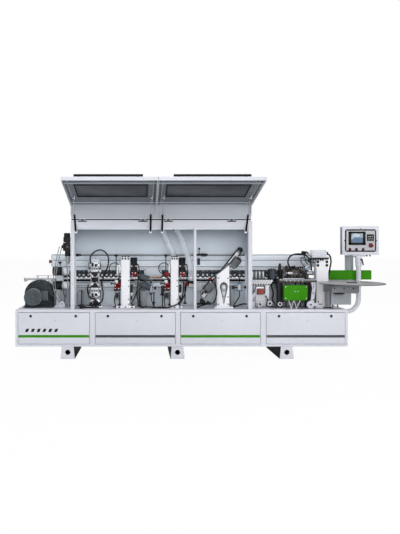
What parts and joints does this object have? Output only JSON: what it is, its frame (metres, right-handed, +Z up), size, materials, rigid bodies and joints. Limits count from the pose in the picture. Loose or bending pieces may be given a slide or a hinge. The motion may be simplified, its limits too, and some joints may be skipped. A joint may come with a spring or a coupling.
{
  "type": "edge banding machine",
  "caption": "Straight-line edge banding machine: long base cabinet, two lifting hoods over processing units, feed track, tape disc and swivelling control box.",
  "frame": {"origin": "on the floor, under the middle of the base cabinet", "axes": "+X along the machine towards the infeed end, +Y away from the operator, +Z up"},
  "size_m": [4.57, 1.9296, 2.1339],
  "materials": {
    "white_paint": "semi-gloss powder coat",
    "bright_paint": "gloss white powder coat",
    "interior_paint": "satin blue-grey paint",
    "rear_panel_paint": "satin blue-grey paint",
    "motor_paint": "painted casting",
    "green_paint": "gloss green powder coat",
    "grey_paint": "satin grey paint",
    "aluminium": "machined and satin",
    "steel": "ground steel",
    "black_steel": "gloss black tube",
    "red_anodised": "red anodised",
    "chain_pads": "moulded rubber",
    "roller_rubber": "moulded rubber",
    "buff_cloth": "sewn cotton",
    "tinted_window": "smoked polycarbonate",
    "glue_brown": "heat-stained enamel",
    "disc_laminate": "laminated board",
    "screen_glass": "touch screen",
    "red_plastic": "moulded",
    "black_plastic": "moulded"
  },
  "bodies": {
    "machine_base": {"base_cabinet": "white_paint", "foot_frame": "white_paint", "hood_frame": "white_paint", "hood_rear_panel": "rear_panel_paint", "track_beam": "interior_paint", "feed_chain": "chain_pads", "infeed_column": "bright_paint", "lift_gearbox": "white_paint", "feed_gearmotor": "motor_paint", "trimming_column_1": "bright_paint", "trimming_column_2": "bright_paint", "end_trim_column": "bright_paint", "scraping_stand": "interior_paint", "buffing_stand": "interior_paint", "press_roller_stand": "aluminium", "glue_table": "glue_brown", "glue_cover": "green_paint", "infeed_fence": "green_paint", "panel_support": "steel", "tape_table_stand": "grey_paint", "control_arm": "white_paint", "air_service_unit": "black_plastic"},
    "front_panel_1": {"front_panel_1": "white_paint"},
    "front_panel_2": {"front_panel_2": "white_paint"},
    "front_panel_3": {"front_panel_3": "white_paint"},
    "front_panel_4": {"front_panel_4": "white_paint"},
    "hood_left": {"hood_left": "white_paint", "hood_window_left": "tinted_window"},
    "hood_right": {"hood_right": "white_paint", "hood_window_right": "tinted_window"},
    "strut_tube_1": {"strut_tube_1": "black_steel"},
    "strut_rod_1": {"strut_rod_1": "steel"},
    "strut_tube_2": {"strut_tube_2": "black_steel"},
    "strut_rod_2": {"strut_rod_2": "steel"},
    "strut_tube_3": {"strut_tube_3": "black_steel"},
    "strut_rod_3": {"strut_rod_3": "steel"},
    "strut_tube_4": {"strut_tube_4": "black_steel"},
    "strut_rod_4": {"strut_rod_4": "steel"},
    "pressure_beam": {"pressure_beam": "interior_paint"},
    "tape_disc": {"tape_disc": "disc_laminate"},
    "control_box": {"control_box": "white_paint", "touch_screen": "screen_glass"},
    "emergency_stop": {"emergency_stop": "red_plastic"},
    "start_button": {"start_button": "red_plastic"},
    "stop_button": {"stop_button": "red_plastic"},
    "trim_head_1_top": {"trim_head_1_top": "red_anodised"},
    "trim_cutter_1_top": {"trim_cutter_1_top": "steel"},
    "trim_head_1_bottom": {"trim_head_1_bottom": "motor_paint"},
    "trim_cutter_1_bottom": {"trim_cutter_1_bottom": "steel"},
    "trim_head_2_top": {"trim_head_2_top": "red_anodised"},
    "trim_cutter_2_top": {"trim_cutter_2_top": "steel"},
    "trim_head_2_bottom": {"trim_head_2_bottom": "motor_paint"},
    "trim_cutter_2_bottom": {"trim_cutter_2_bottom": "steel"},
    "end_saw_carriage_lower": {"end_saw_carriage_lower": "grey_paint"},
    "end_saw_carriage_upper": {"end_saw_carriage_upper": "grey_paint"},
    "scraper_head_top": {"scraper_head_top": "aluminium"},
    "scraper_head_bottom": {"scraper_head_bottom": "aluminium"},
    "buffing_wheel_top": {"buffing_wheel_top": "buff_cloth"},
    "buffing_wheel_bottom": {"buffing_wheel_bottom": "buff_cloth"},
    "main_pressure_roller": {"main_pressure_roller": "roller_rubber"}
  },
  "joints": [
    {"name": "front_panel_1_hinge", "type": "hinge", "parent": "machine_base", "child": "front_panel_1", "pos_m": [-1.5375, -0.4, 0.185], "axis": [1, 0, 0], "range_deg": [0, 80]},
    {"name": "front_panel_2_hinge", "type": "hinge", "parent": "machine_base", "child": "front_panel_2", "pos_m": [-0.558, -0.4, 0.185], "axis": [1, 0, 0], "range_deg": [0, 80]},
    {"name": "front_panel_3_hinge", "type": "hinge", "parent": "machine_base", "child": "front_panel_3", "pos_m": [0.4675, -0.4, 0.185], "axis": [1, 0, 0], "range_deg": [0, 80]},
    {"name": "front_panel_4_hinge", "type": "hinge", "parent": "machine_base", "child": "front_panel_4", "pos_m": [1.492, -0.4, 0.185], "axis": [1, 0, 0], "range_deg": [0, 80]},
    {"name": "hood_left_hinge", "type": "hinge", "parent": "machine_base", "child": "hood_left", "pos_m": [-0.821, -0.35, 1.675], "axis": [1, 0, 0], "range_deg": [0, 104]},
    {"name": "hood_right_hinge", "type": "hinge", "parent": "machine_base", "child": "hood_right", "pos_m": [0.2725, -0.35, 1.675], "axis": [1, 0, 0], "range_deg": [0, 104]},
    {"name": "strut_1_swing", "type": "hinge", "parent": "machine_base", "child": "strut_tube_1", "pos_m": [-1.275, -0.39, 1.541], "axis": [1, 0, 0], "range_deg": [0, 117.11]},
    {"name": "strut_1_stroke", "type": "slide", "parent": "strut_tube_1", "child": "strut_rod_1", "axis": [0, 0.6003, -0.7997], "range_m": [0, 0.20582]},
    {"name": "strut_2_swing", "type": "hinge", "parent": "machine_base", "child": "strut_tube_2", "pos_m": [-0.374, -0.39, 1.541], "axis": [1, 0, 0], "range_deg": [0, 117.11]},
    {"name": "strut_2_stroke", "type": "slide", "parent": "strut_tube_2", "child": "strut_rod_2", "axis": [0, 0.6003, -0.7997], "range_m": [0, 0.20582]},
    {"name": "strut_3_swing", "type": "hinge", "parent": "machine_base", "child": "strut_tube_3", "pos_m": [-0.235, -0.39, 1.541], "axis": [1, 0, 0], "range_deg": [0, 117.11]},
    {"name": "strut_3_stroke", "type": "slide", "parent": "strut_tube_3", "child": "strut_rod_3", "axis": [0, 0.6003, -0.7997], "range_m": [0, 0.20582]},
    {"name": "strut_4_swing", "type": "hinge", "parent": "machine_base", "child": "strut_tube_4", "pos_m": [0.776, -0.39, 1.541], "axis": [1, 0, 0], "range_deg": [0, 117.11]},
    {"name": "strut_4_stroke", "type": "slide", "parent": "strut_tube_4", "child": "strut_rod_4", "axis": [0, 0.6003, -0.7997], "range_m": [0, 0.20582]},
    {"name": "pressure_beam_lift", "type": "slide", "parent": "machine_base", "child": "pressure_beam", "axis": [0, 0, 1], "range_m": [0, 0.045]},
    {"name": "tape_disc_spin", "type": "hinge", "parent": "machine_base", "child": "tape_disc", "pos_m": [2.024, -0.46, 0.916], "axis": [0, 0, 1], "continuous": true},
    {"name": "control_box_swivel", "type": "hinge", "parent": "machine_base", "child": "control_box", "pos_m": [2.255, -0.04, 1.247], "axis": [0, 0, 1], "range_deg": [-75, 75]},
    {"name": "emergency_stop_press", "type": "slide", "parent": "control_box", "child": "emergency_stop", "axis": [0, 1, 0], "range_m": [0, 0.006]},
    {"name": "start_button_press", "type": "slide", "parent": "control_box", "child": "start_button", "axis": [0, 1, 0], "range_m": [0, 0.003]},
    {"name": "stop_button_press", "type": "slide", "parent": "control_box", "child": "stop_button", "axis": [0, 1, 0], "range_m": [0, 0.003]},
    {"name": "trim_head_1_top_float", "type": "slide", "parent": "machine_base", "child": "trim_head_1_top", "axis": [0, 0, 1], "range_m": [0, 0.045]},
    {"name": "trim_cutter_1_top_spin", "type": "hinge", "parent": "trim_head_1_top", "child": "trim_cutter_1_top", "pos_m": [-0.578, -0.14, 0.951], "axis": [0, 0, 1], "continuous": true},
    {"name": "trim_head_1_bottom_float", "type": "slide", "parent": "machine_base", "child": "trim_head_1_bottom", "axis": [0, 0, 1], "range_m": [-0.02, 0]},
    {"name": "trim_cutter_1_bottom_spin", "type": "hinge", "parent": "trim_head_1_bottom", "child": "trim_cutter_1_bottom", "pos_m": [-0.786, -0.14, 0.905], "axis": [0, 0, 1], "continuous": true},
    {"name": "trim_head_2_top_float", "type": "slide", "parent": "machine_base", "child": "trim_head_2_top", "axis": [0, 0, 1], "range_m": [0, 0.045]},
    {"name": "trim_cutter_2_top_spin", "type": "hinge", "parent": "trim_head_2_top", "child": "trim_cutter_2_top", "pos_m": [0.023, -0.14, 0.951], "axis": [0, 0, 1], "continuous": true},
    {"name": "trim_head_2_bottom_float", "type": "slide", "parent": "machine_base", "child": "trim_head_2_bottom", "axis": [0, 0, 1], "range_m": [-0.02, 0]},
    {"name": "trim_cutter_2_bottom_spin", "type": "hinge", "parent": "trim_head_2_bottom", "child": "trim_cutter_2_bottom", "pos_m": [-0.172, -0.14, 0.905], "axis": [0, 0, 1], "continuous": true},
    {"name": "end_saw_carriage_lower_travel", "type": "slide", "parent": "machine_base", "child": "end_saw_carriage_lower", "axis": [0.623, 0, 0.7822], "range_m": [-0.06, 0]},
    {"name": "end_saw_carriage_upper_travel", "type": "slide", "parent": "machine_base", "child": "end_saw_carriage_upper", "axis": [0.623, 0, 0.7822], "range_m": [0, 0.06]},
    {"name": "scraper_head_top_float", "type": "slide", "parent": "machine_base", "child": "scraper_head_top", "axis": [0, 0, 1], "range_m": [0, 0.045]},
    {"name": "scraper_head_bottom_float", "type": "slide", "parent": "machine_base", "child": "scraper_head_bottom", "axis": [0, 0, 1], "range_m": [-0.02, 0]},
    {"name": "buffing_wheel_top_spin", "type": "hinge", "parent": "machine_base", "child": "buffing_wheel_top", "pos_m": [-1.419, -0.105, 1.044], "axis": [1, 0, 0], "continuous": true},
    {"name": "buffing_wheel_bottom_spin", "type": "hinge", "parent": "machine_base", "child": "buffing_wheel_bottom", "pos_m": [-1.419, -0.105, 0.866], "axis": [1, 0, 0], "continuous": true},
    {"name": "main_pressure_roller_spin", "type": "hinge", "parent": "machine_base", "child": "main_pressure_roller", "pos_m": [1.171, -0.05, 0.985], "axis": [0, 0, 1], "continuous": true}
  ],
  "couplings": [
    {"joint": "strut_1_swing", "follows": "hood_left_hinge", "ratio": 1.1256},
    {"joint": "strut_1_stroke", "follows": "hood_left_hinge", "m_per_rad": 0.11328},
    {"joint": "strut_2_swing", "follows": "hood_left_hinge", "ratio": 1.1256},
    {"joint": "strut_2_stroke", "follows": "hood_left_hinge", "m_per_rad": 0.11328},
    {"joint": "strut_3_swing", "follows": "hood_right_hinge", "ratio": 1.1256},
    {"joint": "strut_3_stroke", "follows": "hood_right_hinge", "m_per_rad": 0.11328},
    {"joint": "strut_4_swing", "follows": "hood_right_hinge", "ratio": 1.1256},
    {"joint": "strut_4_stroke", "follows": "hood_right_hinge", "m_per_rad": 0.11328}
  ]
}
